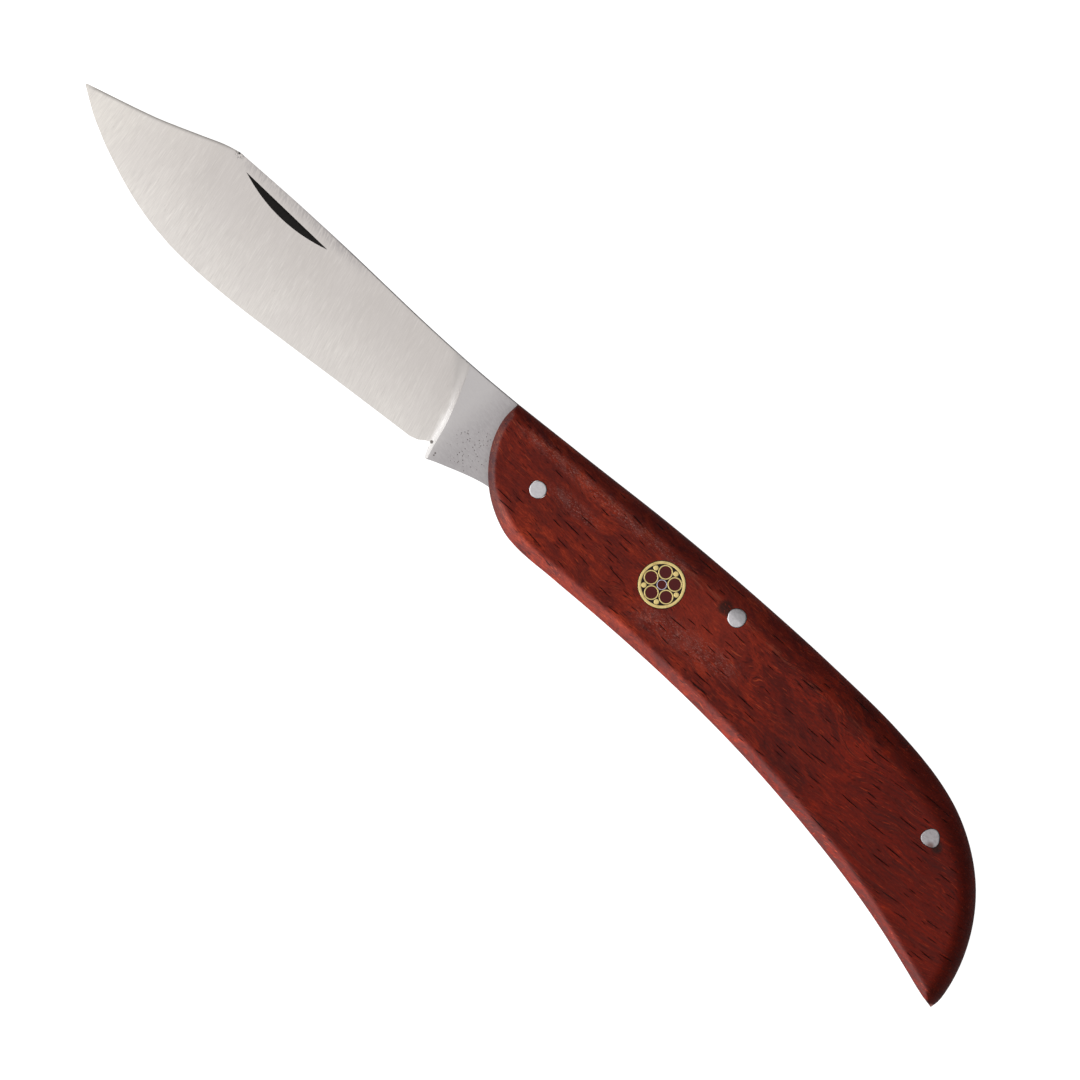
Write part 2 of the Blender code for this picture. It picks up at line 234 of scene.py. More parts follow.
HANDLE = refined(plan_loops("liner_left")[0], 0.9)
FRONT_TOP = HANDLE[np.argmin(HANDLE[:, 0] - 0.3 * HANDLE[:, 1])]
BUTT_POINT = HANDLE[np.argmax(HANDLE[:, 0] - 0.5 * HANDLE[:, 1])]


# -------- meshes

def edge_rings(outer, distances):
    """Points that follow an outline at set distances inside it."""
    along = np.roll(outer, -1, axis=0) - np.roll(outer, 1, axis=0)
    inward = np.column_stack([-along[:, 1], along[:, 0]]) / np.linalg.norm(along, axis=1)[:, None]
    kept = []
    for distance in distances:
        points = outer + inward * distance
        found = distance_to(points, outer)
        kept.append(points[(found > 0.96 * distance) & inside(points, outer)])
    return np.vstack(kept)


def fill_grid(outer, holes, margin, spacing):
    """A staggered grid inside an outline, clear of its holes."""
    low, high = outer.min(0), outer.max(0)
    rows = []
    row_step = spacing * math.sqrt(3) / 2
    for k, y in enumerate(np.arange(low[1], high[1], row_step)):
        xs = np.arange(low[0] + (k % 2) * spacing / 2, high[0], spacing)
        rows.append(np.column_stack([xs, np.full(len(xs), y)]))
    grid = np.vstack(rows)
    grid = grid[inside(grid, outer)]
    grid = grid[distance_to(grid, outer) > margin]
    for hole in holes:
        grid = grid[(distance_to(grid, hole) > spacing / 2) & ~inside(grid, hole)]
    return grid


def triangulate(loops, extra, lines=()):
    """Triangles inside loops[0] and outside the others.

    Returns the points, the triangles, and each loop's point numbers. lines are open or closed
    chains of points that the triangles' edges follow."""
    coords = []
    edges = []
    spans = []
    for line, closed in [(loop, True) for loop in loops] + list(lines):
        first = len(coords)
        coords += [Vector(p) for p in line]
        edges += [(i, i + 1) for i in range(first, len(coords) - 1)]
        if closed:
            edges.append((len(coords) - 1, first))
        spans.append(range(first, len(coords)))
    coords += [Vector(p) for p in extra]
    result = delaunay_2d_cdt(coords, edges, [], 1, 1e-5)
    points = np.array([tuple(v) for v in result[0]])
    triangles = np.array([face for face in result[2] if len(face) == 3])
    renumbered = {old: new for new, originals in enumerate(result[3]) for old in originals}
    middles = points[triangles].mean(axis=1)
    keep = inside(middles, loops[0])
    for hole in loops[1:]:
        keep &= ~inside(middles, hole)
    chains = [[renumbered[i] for i in span] for span in spans[:len(loops)]]
    return points, triangles[keep], chains


def to_world(points, heights):
    return np.column_stack([points, heights]) * MM + np.array(PIVOT)


def add_piece(name, mesh, materials, body, node, slot, angle):
    """Shade a mesh, sharp beyond the angle, and let it stand for its CAD node on its body.

    A piece put on its body later, or on none, has None as its body."""
    bm = bmesh.new()
    bm.from_mesh(mesh)
    bmesh.ops.remove_doubles(bm, verts=bm.verts, dist=1e-8)
    bmesh.ops.recalc_face_normals(bm, faces=bm.faces)
    bm.to_mesh(mesh)
    bm.free()
    mesh.shade_smooth()
    mesh.set_sharp_from_angle(angle=math.radians(angle))
    for material in materials:
        mesh.materials.append(material)
    piece = put_in_scene(name, mesh)
    if body:
        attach(piece, body)
    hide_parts(node)
    return piece


def solid_mesh(name, loops, top, bottom, extra, lines=(), wall_steps=()):
    """A closed solid between two heights. top is a function of an (n, 2) array.

    bottom is such a function too, or a number for a flat underside. wall_steps are shares of the
    wall's height where it gets a row of points."""
    points, triangles, chains = triangulate(loops, extra, lines)
    top_heights = top(points)
    if callable(bottom):
        flat, flat_triangles, flat_chains = points, triangles, chains
        low_heights = bottom(flat)
    else:
        flat, flat_triangles, flat_chains = triangulate(loops, np.zeros((0, 2)))
        low_heights = np.full(len(flat), bottom)
    vertices = [to_world(points, top_heights), to_world(flat, low_heights)]
    faces = [tuple(t) for t in triangles]
    offset = len(points)
    faces += [tuple(int(i) + offset for i in reversed(t)) for t in flat_triangles]
    count = offset + len(flat)
    for chain, low_chain in zip(chains, flat_chains):
        rows = [list(chain)]
        for share in wall_steps:
            heights = top_heights[chain] * (1 - share) + low_heights[low_chain] * share
            vertices.append(to_world(points[chain], heights))
            rows.append(list(range(count, count + len(chain))))
            count += len(chain)
        rows.append([i + offset for i in low_chain])
        for upper, lower in zip(rows, rows[1:]):
            for k in range(len(chain)):
                after = (k + 1) % len(chain)
                faces.append((upper[k], lower[k], lower[after], upper[after]))
    mesh = bpy.data.meshes.new(name)
    mesh.from_pydata(np.vstack(vertices).tolist(), [], faces)
    return mesh


def turned_mesh(name, centre, profile, segments, shape=None):
    """A profile of (radius, z) turned about a vertical axis. A radius of 0 closes an end.

    shape(angle) scales the radii, for pieces that hammering has left out of round."""
    vertices = []
    rows = []
    for radius, z in profile:
        if radius == 0:
            rows.append([len(vertices)] * segments)
            vertices.append((centre[0], centre[1], z))
            continue
        rows.append(range(len(vertices), len(vertices) + segments))
        for k in range(segments):
            angle = 2 * math.pi * k / segments
            size = radius * (shape(angle) if shape else 1)
            vertices.append((centre[0] + size * math.cos(angle), centre[1] + size * math.sin(angle), z))
    closed = profile[0][0] > 0
    pairs = list(zip(rows, rows[1:])) + ([(rows[-1], rows[0])] if closed else [])
    faces = []
    for row, following in pairs:
        for k in range(segments):
            after = (k + 1) % segments
            corner_ids = dict.fromkeys((row[k], row[after], following[after], following[k]))
            if len(corner_ids) > 2:
                faces.append(tuple(corner_ids))
    vertices = np.array(vertices)
    mesh = bpy.data.meshes.new(name)
    mesh.from_pydata(to_world(vertices[:, :2], vertices[:, 2]).tolist(), [], faces)
    return mesh


def set_attribute(mesh, name, values, domain="POINT"):
    attribute = mesh.attributes.new(name, "FLOAT", domain)
    attribute.data.foreach_set("value", np.asarray(values, np.float32))


def plan_of(mesh):
    """A mesh's points, in millimetres from the pivot."""
    flat = np.zeros(len(mesh.vertices) * 3, np.float32)
    mesh.vertices.foreach_get("co", flat)
    return (flat.reshape(-1, 3).astype(float) - np.array(PIVOT)) / MM


def face_middles(mesh):
    """The middles of a mesh's faces, in millimetres from the pivot."""
    return (np.array([tuple(face.center) for face in mesh.polygons]) - np.array(PIVOT)) / MM


# -------- material helpers

class Nodes:
    """A node tree, built with short calls."""

    def __init__(self, tree):
        self.tree = tree

    def add(self, kind, inputs=None, **settings):
        node = self.tree.nodes.new(kind)
        for key, value in settings.items():
            setattr(node, key, value)
        for key, value in (inputs or {}).items():
            self.plug(node.inputs[key], value)
        return node

    def plug(self, socket, value):
        if isinstance(value, bpy.types.NodeSocket):
            self.tree.links.new(value, socket)
        elif isinstance(value, (tuple, list)) and len(value) == 3 and socket.type == "RGBA":
            socket.default_value = (*value, 1.0)
        else:
            socket.default_value = value

    def span(self, value, low, high, to_low=0.0, to_high=1.0, smooth_ends=True):
        kind = "SMOOTHSTEP" if smooth_ends else "LINEAR"
        return self.add("ShaderNodeMapRange", {"Value": value, "From Min": low, "From Max": high,
                                               "To Min": to_low, "To Max": to_high},
                        interpolation_type=kind).outputs["Result"]

    def math(self, operation, a, b=0.0, c=0.0):
        return self.add("ShaderNodeMath", {0: a, 1: b, 2: c}, operation=operation).outputs[0]

    def plus(self, a, b):
        return self.math("ADD", a, b)

    def minus(self, a, b):
        return self.math("SUBTRACT", a, b)

    def times(self, *factors):
        product = factors[0]
        for factor in factors[1:]:
            product = self.math("MULTIPLY", product, factor)
        return product

    def mix(self, share, a, b, kind="MIX"):
        node = self.add("ShaderNodeMix", data_type="RGBA", blend_type=kind)
        self.plug(node.inputs["Factor"], share)
        self.plug(node.inputs["A"], a)
        self.plug(node.inputs["B"], b)
        return node.outputs["Result"]

    def layered(self, color, layers):
        """A colour with layers laid over it, each with its share and its display values."""
        for share, shade in layers:
            color = self.mix(share, color, srgb(*shade))
        return color

    def ramp(self, value, stops):
        node = self.add("ShaderNodeValToRGB", {"Fac": value})
        points = node.color_ramp.elements
        while len(points) < len(stops):
            points.new(0.5)
        for point, (place, color) in zip(points, stops):
            point.position = place
            point.color = (*srgb(*color), 1.0)
        return node.outputs["Color"]


class Shader(Nodes):
    """A material's nodes. place, x, y and z are in millimetres from the pivot."""

    def __init__(self, name):
        self.material = bpy.data.materials.new(name)
        self.material.use_nodes = True
        super().__init__(self.material.node_tree)
        metres = self.add("ShaderNodeTexCoord").outputs["Object"]
        self.place = self.add("ShaderNodeMapping", {0: metres, "Location": -PIVOT / MM,
                                                    "Scale": (1 / MM, 1 / MM, 1 / MM)}).outputs[0]
        split = self.add("ShaderNodeSeparateXYZ", {0: self.place})
        self.x = split.outputs["X"]
        self.y = split.outputs["Y"]
        self.z = split.outputs["Z"]

    def finish(self, **inputs):
        """Plug the surface's inputs, and give the material."""
        surface = self.tree.nodes["Principled BSDF"]
        for key, value in inputs.items():
            self.plug(surface.inputs[key.replace("_", " ")], value)
        return self.material

    def stretched(self, scale, turn=0.0, offset=(0, 0, 0), source=None):
        """The place, turned about z, moved and scaled along each axis."""
        turned = self.add("ShaderNodeMapping", {0: source or self.place, "Location": offset,
                                                "Rotation": (0, 0, turn)})
        return self.add("ShaderNodeMapping", {0: turned.outputs[0], "Scale": scale}).outputs[0]

    def noise(self, scale, detail=2.0, roughness=0.5, distortion=0.0, **place):
        """Noise over the stretched place."""
        return self.add("ShaderNodeTexNoise", {"Vector": self.stretched(scale, **place), "Scale": 1.0,
                                               "Detail": detail, "Roughness": roughness,
                                               "Distortion": distortion}).outputs["Fac"]

    def band(self, value, low, high, soft):
        """1 where the value lies between low and high, fading to 0 over the soft width."""
        return self.times(self.span(value, low - soft, low), self.span(value, high + soft, high))

    def blot(self, centre, radius, soft):
        """1 within the radius of a place in plan, fading to 0 over the soft width."""
        flat = self.add("ShaderNodeCombineXYZ", {"X": self.x, "Y": self.y}).outputs[0]
        reach = self.add("ShaderNodeVectorMath", {0: flat, 1: (*centre, 0)}, operation="DISTANCE")
        return self.span(reach.outputs["Value"], radius + soft, radius)

    def attribute(self, name):
        return self.add("ShaderNodeAttribute", attribute_name=name).outputs["Fac"]

    def bump(self, height, depth):
        """depth is in millimetres."""
        return self.add("ShaderNodeBump", {"Height": height, "Distance": depth * MM}).outputs["Normal"]


def srgb(red, green, blue):
    """Linear colour from 0 to 255 display values."""
    def channel(value):
        value /= 255
        return value / 12.92 if value <= 0.04045 else ((value + 0.055) / 1.055) ** 2.4
    return (channel(red), channel(green), channel(blue))


# -------- materials

# The grain's slope at the pivot, and half of what it gains with each millimetre toward the butt.
GRAIN_START = 0.02
GRAIN_RISE = 0.0008
# Broad patches, each a place with its radius and soft width, then its share and its colour.
WOOD_PATCHES = [(((36, 6), 3, 7), 0.32, (142, 48, 32)),
                (((60.5, 3.5), 2.5, 7.0), 0.42, (50, 14, 13)),
                (((1.5, 2.5), 3.0, 5.0), 0.18, (50, 14, 13))]
# Rubbed streaks, each with its reach in x, its height and rise in y, and its width.
HAZE_STREAKS = [((-6, 25), (5.5, 0.11), 1.2), ((28, 42), (-0.5, 0.22), 2.3), ((4, 8), (2.3, 0.1), 1.3)]
# Torn grain beside two of the pins, each with its place and reach.
TEAR_OUTS = [(CENTRE_PIN + np.array((-2.4, -0.2)), 1.35), (BUTT_PIN + np.array((1.9, -0.4)), 0.95)]


def bent_to_grain(s, offset):
    """Places in millimetres, bent so that a figure drawn along X follows the grain."""
    wander = s.noise((0.05, 0.12, 0.12), offset=offset)
    sway = s.times(s.minus(wander, 0.5), 6.0)
    climb = s.times(s.x, s.math("MULTIPLY_ADD", s.x, GRAIN_RISE, GRAIN_START))
    shift = s.add("ShaderNodeCombineXYZ", {"Y": s.minus(sway, climb)}).outputs[0]
    return s.add("ShaderNodeVectorMath", {0: s.place, 1: shift}).outputs[0]


def add_haze(s, color):
    """Whitish specks and a thin film, where the finish is rubbed."""
    fine = s.noise((3.0, 5.0, 3.0), detail=5, roughness=0.8, turn=-0.3)
    film = s.noise((0.5, 0.9, 0.5), detail=3, turn=0.2)
    rubbed = 0.0
    for (start, end), (height, rise), width in HAZE_STREAKS:
        middle = s.math("MULTIPLY_ADD", s.minus(s.x, start), rise, height)
        across = s.math("ABSOLUTE", s.minus(s.y, middle))
        streak = s.times(s.band(s.x, start, end, 5), s.span(across, width * 1.5, 0.0))
        rubbed = s.math("MAXIMUM", rubbed, streak)
    return s.layered(color, [
        (s.times(rubbed, s.span(film, 0.42, 0.68, 0.0, 0.17)), (142, 92, 86)),
        (s.times(rubbed, s.span(fine, 0.53, 0.62, 0.0, 0.45)), (168, 122, 112))])


def shaded_and_worn_rims(s, color, grain, fibres):
    """The back's rounding is darker with painted shade. The bevels are worn pale and given painted sheen,
    and stained toward the butt.
    """
    rounding = s.attribute("rounding")
    bevel = s.attribute("bevel")
    # Pale scratchy streaks where the back's rounding starts: partly scuffs, partly a painted highlight.
    scuffs_and_highlight = s.times(s.span(grain((0.25, 3.4, 2.0), 3, 0.7), 0.48, 0.62, 0.0, 0.3), s.span(s.x, 86, 60))
    color = s.layered(color, [(s.times(s.band(rounding, 0.05, 0.18, 0.05), scuffs_and_highlight), (160, 84, 62))])
    # Painted shade on the back's rounding, a little lighter between x 32 and 56.
    shade = s.mix(s.band(s.x, 32, 56, 8), (0.60, 0.68, 0.88), (0.80, 0.90, 1.10))
    color = s.mix(s.span(rounding, 0.06, 0.5), color, shade, "MULTIPLY")
    # The bevels made paler: partly wear and sanding haze, partly painted sheen, which turns the front bevel
    # purplish.
    front_wear_and_sheen = s.mix(s.span(s.y, 1.5, 6.5), (0.90, 2.5, 4.3), (0.62, 1.2, 2.0))
    wear_and_sheen = s.mix(s.span(s.x, -7, 3), front_wear_and_sheen, (1.72, 1.95, 2.1))
    color = s.mix(s.span(bevel, 0.0, 0.4), color, wear_and_sheen, "MULTIPLY")
    blotches = s.span(grain((0.22, 1.5, 0.6), 4, 0.65), 0.58, 0.40, 0.0, 0.72)
    stain = s.times(s.span(bevel, 0.1, 0.5), s.span(s.x, 25, 60), blotches)
    # Painted shadow where the bevel meets the flat face, broken by the fibres.
    crest_shadow = s.times(s.band(bevel, 0.03, 0.22, 0.12), s.span(s.x, 30, 60),
                    s.span(fibres, 0.34, 0.56, 0.75, 0.25))
    return s.layered(color, [(stain, (96, 42, 40)), (crest_shadow, (66, 24, 21))])


def wood_material(name, offset):
    """Oiled red-brown hardwood: streaked figure along the grain, dark open pores, pale scuff marks, painted
    light and shade on the rims.
    """
    s = Shader(name)
    bent = bent_to_grain(s, offset)

    def grain(scale, detail, roughness=0.55, turn=0.0, distortion=0.0):
        return s.noise(scale, detail, roughness, distortion, turn=turn, offset=offset, source=bent)

    patches = grain((0.07, 0.18, 0.15), 4, distortion=1.2)
    streaks = grain((0.09, 0.8, 0.5), 4)
    mottle = grain((0.30, 0.62, 0.5), 5, 0.68, distortion=0.6)
    flame = grain((0.14, 0.40, 0.3), 4, 0.6, 0.3, 1.0)
    short_fibres = s.times(grain((0.50, 4.2, 2.0), 4, 0.7), s.span(s.x, 60, 76, 1.0, 0.2))
    long_fibres = s.times(grain((0.13, 2.6, 1.2), 4, 0.7), s.span(s.x, 60, 76, 0.0, 0.8))
    fibres = s.plus(short_fibres, long_fibres)
    threads = grain((1.2, 8.0, 4.0), 3, 0.7)
    flecks = s.span(grain((0.55, 6.5, 3.0), 1), 0.66, 0.72, 0.0, 0.75)
    embers = s.span(grain((0.4, 5.0, 3.0), 1, turn=0.01), 0.68, 0.75, 0.0, 0.5)
    bright_threads = s.span(grain((0.32, 8.0, 4.0), 1, turn=-0.02), 0.685, 0.72, 0.0, 0.62)
    pale_lines = s.span(grain((0.12, 8.5, 3.0), 1, turn=-0.03), 0.69, 0.74, 0.0, 0.6)
    specks = s.span(grain((2.2, 6.5, 3.0), 4, 0.8), 0.30, 0.70, 0.70, 1.34, smooth_ends=False)
    front = s.span(s.x, 62, 30)
    middle = s.band(s.x, 42, 66, 12)

    figure = 0.0
    for layer, weight in ((patches, 0.26), (streaks, 0.24), (fibres, 0.26), (threads, 0.20),
                          (mottle, s.span(s.x, 62, 30, 0.08, 0.16))):
        figure = s.plus(figure, s.times(layer, weight))
    color = s.ramp(s.span(figure, 0.38, 0.68, smooth_ends=False), [
        (0.0, (58, 13, 10)), (0.28, (84, 22, 15)), (0.5, (100, 27, 17)),
        (0.72, (116, 33, 18)), (1.0, (150, 50, 26))])
    color = s.layered(color, [
        (s.times(s.span(mottle, 0.54, 0.38, 0.0, 0.36), front), (64, 20, 19)),
        (s.times(middle, s.span(flame, 0.50, 0.62, 0.0, 0.45)), (146, 46, 21)),
        (s.times(middle, s.span(flame, 0.47, 0.36, 0.0, 0.55)), (58, 14, 13)),
        (flecks, (42, 8, 8)),
        (embers, (172, 66, 32)),
        (s.times(bright_threads, s.span(s.x, 20, 50, 0.35, 1.0)), (186, 82, 46)),
        (s.times(pale_lines, s.span(s.x, 40, 75, 0.15, 1.0)), (164, 76, 52)),
        (s.span(s.x, 62, 96, 0.0, 0.24), (64, 15, 10))])
    color = s.mix(s.span(s.x, 30, 72), color, (1.20, 0.76, 0.44), "MULTIPLY")
    for place, share, shade in WOOD_PATCHES:
        color = s.layered(color, [(s.times(s.blot(*place), share), shade)])
    color = s.mix(1.0, color, specks, "MULTIPLY")
    color = shaded_and_worn_rims(s, add_haze(s, color), grain, fibres)

    ragged = s.span(s.noise((1.4, 2.4, 1.0), detail=4, roughness=0.7), 0.30, 0.44)
    tears = [(s.times(s.blot(centre, reach * 0.6, reach * 0.7), ragged, 0.85), (40, 24, 21))
             for centre, reach in TEAR_OUTS]
    color = s.layered(color, [
        (s.blot(BUTT_POINT, 0.35, 0.4), (170, 100, 88)),
        *tears,
        (s.times(s.attribute("pore"), 0.9), (26, 7, 7))])
    relief = s.plus(s.minus(s.times(fibres, 0.5), flecks), s.times(threads, 0.25))
    return s.finish(Base_Color=color, Roughness=s.span(fibres, 0.3, 0.7, 0.36, 0.48),
                    Specular_IOR_Level=s.span(s.attribute("bevel"), 0.0, 0.4, 0.09, 0.28),
                    Normal=s.bump(relief, 0.04))


BRUSH_LEAN = math.radians(-16)
PIT_PATCH = ((-12.3, -3.8), 2.2, 3.6)
CHIP_PATCH = ((-74.4, 1.25), 0.35, 0.8)
# Dark dots near the heel, each with its place and radius: the first is painted shadow in the heel's notch,
# the others are rust.
HEEL_SHADE_AND_RUST_DOTS = [((-17.8, -7.7), 0.2), ((-16.0, -8.5), 0.06), ((-15.9, -8.9), 0.04)]


def ground_steel(s):
    """The brushed face: its brush lines, which swing a little along the blade, and its colour."""
    swing = s.span(s.x, -95, -30, 0.10, -0.06, smooth_ends=False)
    swung = s.add("ShaderNodeVectorRotate", {"Vector": s.place, "Center": (-60, -6, 0), "Angle": swing},
                  rotation_type="Z_AXIS").outputs[0]

    def brushed(scale, detail, roughness=0.8, lean=BRUSH_LEAN):
        return s.noise(scale, detail, roughness, turn=lean, source=swung)

    lines = s.plus(s.times(brushed((6.0, 0.30, 0.6), 4), 0.55), s.times(brushed((9.0, 0.40, 2.0), 3), 0.45))
    sparse = brushed((5.0, 0.8, 1.0), 1, 0.5)
    burr = brushed((5.0, 0.55, 1.0), 3, 0.7, BRUSH_LEAN - 0.2)
    cloud = s.noise((0.10, 0.10, 0.10), detail=3)
    burr_share = s.times(s.attribute("spine_band"), s.span(burr, 0.40, 0.60, 0.1, 0.55),
                         s.band(s.x, -69, -50, 8))
    color = s.mix(s.span(s.attribute("across"), 0.15, 1.1), srgb(202, 196, 192), srgb(226, 221, 216))
    return lines, s.layered(color, [
        (s.span(s.x, -72, -98, 0.0, 0.8), (226, 221, 214)),
        (s.span(lines, 0.34, 0.60, 0.6, 0.0, smooth_ends=False), (184, 178, 174)),
        (s.span(lines, 0.54, 0.70, 0.0, 0.36, smooth_ends=False), (236, 232, 228)),
        (s.span(cloud, 0.4, 0.65, 0.0, 0.25), (204, 198, 195)),
        (s.span(sparse, 0.78, 0.82, 0.0, 0.4), (160, 152, 146)),
        (burr_share, (152, 147, 148))])


def ricasso_steel(s):
    """The plain face behind the plunge: where its small pits are, and its colour."""
    speckle = s.noise((1.2, 3.6, 2.6), detail=5, roughness=0.85, turn=0.12)
    pits = s.add("ShaderNodeTexVoronoi", {"Vector": s.stretched((2.1, 2.1, 2.1)),
                                          "Scale": 1.0}).outputs["Distance"]
    pitted = s.times(s.noise((0.7, 0.7, 0.7), detail=1, offset=(4, 3, 0)), s.blot(*PIT_PATCH))
    pits = s.times(s.span(pits, 0.22, 0.10), s.span(pitted, 0.22, 0.32))
    color = s.mix(s.span(speckle, 0.36, 0.64), srgb(168, 163, 164), srgb(179, 175, 175))
    return pits, s.layered(color, [
        # Painted light: the ricasso grows paler toward the plunge.
        (s.span(s.x, -13.5, -18.5, 0.0, 0.7), (198, 194, 193)),
        (s.times(pits, 0.75), (74, 62, 58))])


def blade_material():
    """Satin steel: fine brush lines across the blade, a smoother and darker ricasso, a painted highlight on
    the plunge.
    """
    s = Shader("blade_satin_steel")
    lines, ground = ground_steel(s)
    pits, plain = ricasso_steel(s)
    ricasso = s.attribute("ricasso")
    plunge = s.attribute("plunge")
    broken = s.span(s.noise((3.5, 4.5, 2.0), detail=3, roughness=0.7, turn=0.2), 0.52, 0.58)
    chips = s.times(s.blot(*CHIP_PATCH), broken, s.span(s.z, 1.0, 1.2))
    color = s.layered(s.mix(ricasso, ground, plain), [(chips, (52, 48, 46))])
    # Painted highlight on the plunge, palest toward the edge; the plunge is made far less metallic so that
    # the colour shows.
    plunge_highlight = s.mix(s.span(s.y, -5, 2.5), srgb(238, 235, 233), srgb(184, 179, 176))
    edge_shade = s.times(s.attribute("spine_edge"), s.span(s.x, -66, -50, 0.0, 0.7))
    # Painted shadow in the heel's notch, and rust dots.
    shade_and_rust = [(s.times(s.blot(centre, radius, 0.16), 0.85), (66, 54, 48)) for centre, radius in HEEL_SHADE_AND_RUST_DOTS]
    color = s.layered(s.mix(plunge, color, plunge_highlight), [(edge_shade, (96, 94, 97)), *shade_and_rust])
    height = s.minus(s.times(lines, s.span(ricasso, 0.0, 1.0, 1.0, 0.12)), s.times(pits, 3.0))
    return s.finish(Base_Color=color, Metallic=s.span(plunge, 0.0, 0.7, 1.0, 0.1, smooth_ends=False),
                    Specular_IOR_Level=0.2, Normal=s.bump(height, 0.012),
                    Roughness=s.plus(s.span(lines, 0.3, 0.7, 0.34, 0.42), s.times(plunge, 0.2)))


def dark_cut_material():
    """The inside of the nail nick: dark oxide, with painted shade in its hollow."""
    s = Shader("nick_black_steel")
    grain = s.noise((3.0, 0.6, 1.0), detail=3)
    return s.finish(Base_Color=s.mix(grain, srgb(26, 24, 23), srgb(50, 46, 44)), Metallic=0.6,
                    Roughness=0.62, Normal=s.bump(grain, 0.02))


def frame_steel_material():
    """Liners and spring: satin steel brushed along its length, with a few darker patches."""
    s = Shader("frame_satin_steel")
    lines = s.noise((0.5, 6.0, 9.0), detail=3, roughness=0.65)
    patches = s.noise((0.12, 0.12, 0.12), detail=3)
    color = s.mix(lines, srgb(150, 147, 144), srgb(196, 193, 189))
    color = s.mix(s.span(patches, 0.4, 0.65, 0.0, 0.4), color, srgb(128, 122, 116))
    return s.finish(Base_Color=color, Metallic=1.0, Roughness=s.span(lines, 0.3, 0.7, 0.3, 0.42),
                    Normal=s.bump(lines, 0.01))


def pin_material():
    """Peened and sanded rivet steel, with fine scratches and a brown stain by the butt pin."""
    s = Shader("pin_bright_steel")
    scratches = s.noise((1.2, 9.0, 1.0), detail=3, roughness=0.7, turn=0.6)
    dents = s.noise((1.1, 1.1, 1.1), detail=3)
    dull = s.span(s.noise((2.6, 2.6, 2.0), detail=4, roughness=0.7), 0.42, 0.62, 0.0, 0.5)
    color = s.layered(s.mix(scratches, srgb(184, 181, 183), srgb(208, 205, 208)), [
        (s.span(s.x, 40, 80, 0.0, 0.9), (164, 159, 161)),
        (s.times(dull, s.span(s.x, 40, 80, 0.3, 1.0)), (146, 140, 142)),
        (s.times(s.blot(BUTT_PIN + np.array((0.9, -1.0)), 0.25, 0.7), 0.7), (96, 54, 44))])
    return s.finish(Base_Color=color, Metallic=1.0, Roughness=s.span(dents, 0.3, 0.7, 0.32, 0.5),
                    Normal=s.bump(s.plus(dents, s.times(scratches, 0.3)), 0.03))


def brass_material():
    """Polished brass with fine scratches, darker nicks and a little tarnish."""
    s = Shader("inlay_polished_brass")
    scratches = s.noise((1.4, 8.0, 1.0), detail=3, roughness=0.7, turn=0.3)
    tarnish = s.noise((0.9, 0.9, 0.9), detail=3)
    nicks = s.noise((3.2, 9.0, 1.0), roughness=0.7, turn=0.9)
    color = s.layered(s.mix(scratches, srgb(206, 180, 112), srgb(232, 212, 150)), [
        (s.span(tarnish, 0.5, 0.75, 0.0, 0.5), (168, 136, 74)),
        (s.span(nicks, 0.62, 0.70, 0.0, 0.55), (112, 82, 44))])
    return s.finish(Base_Color=color, Metallic=1.0, Roughness=s.span(scratches, 0.3, 0.7, 0.28, 0.4),
                    Normal=s.bump(scratches, 0.01))


def core_material():
    """The inlay's middle tube: pale steel with a lilac tint."""
    s = Shader("inlay_core_steel")
    scratches = s.noise((1.4, 8.0, 1.0), detail=3, roughness=0.7, turn=0.3)
    return s.finish(Base_Color=s.mix(scratches, srgb(212, 204, 222), srgb(236, 230, 242)), Metallic=0.7,
                    Roughness=s.span(scratches, 0.3, 0.7, 0.32, 0.42), Normal=s.bump(scratches, 0.01))


def resin_material(side):
    """Cast resin: red-brown inside the tubes and the core, almost black between them."""
    s = Shader(f"inlay_resin_{side}")
    filled = 0.0
    for tube in [f"inlay_{side}_tube_{k}" for k in range(1, 6)] + [f"inlay_{side}_core_tube"]:
        filled = s.math("MAXIMUM", filled, s.blot(spot(tube), plan_radius(tube) - 0.05, 0.02))
    dust = s.noise((3.0, 3.0, 3.0), detail=4, roughness=0.7)
    red = s.mix(dust, srgb(66, 17, 17), srgb(88, 25, 24))
    black = s.mix(dust, srgb(20, 10, 12), srgb(38, 22, 24))
    return s.finish(Base_Color=s.mix(filled, black, red), Roughness=s.span(dust, 0.3, 0.7, 0.3, 0.45),
                    Specular_IOR_Level=0.15, Normal=s.bump(dust, 0.02))


WOOD_LEFT = wood_material("oiled_wood_left", (0, 0, 0))
WOOD_RIGHT = wood_material("oiled_wood_right", (37, 11, 5))
BLADE_STEEL = blade_material()
NICK_STEEL = dark_cut_material()
FRAME_STEEL = frame_steel_material()
PIN_STEEL = pin_material()
BRASS = brass_material()
CORE_STEEL = core_material()


# -------- mosaic inlays

INLAY = spot("inlay_left_sleeve")
INLAY_HOLE_RADIUS = plan_radius("inlay_left_sleeve") + 0.09
SLEEVE_WALL = 0.5
SLEEVE_GAP = 0.02
TUBE_WALL = 0.22
CORE_WALL = 0.11
TUBE_ROUNDING = 0.03
ROD_RADIUS = 0.495


def tube_section(outer, inner, low, high):
    """A tube's section, its upper rims rounded and its lower ones chamfered."""
    e = TUBE_ROUNDING
    return [(outer - e, high), (outer - e * 0.3, high - e * 0.3), (outer, high - e), (outer, low + e),
            (outer - e, low), (inner + e, low), (inner, low + e), (inner, high - e),
            (inner + e * 0.3, high - e * 0.3), (inner + e, high)]


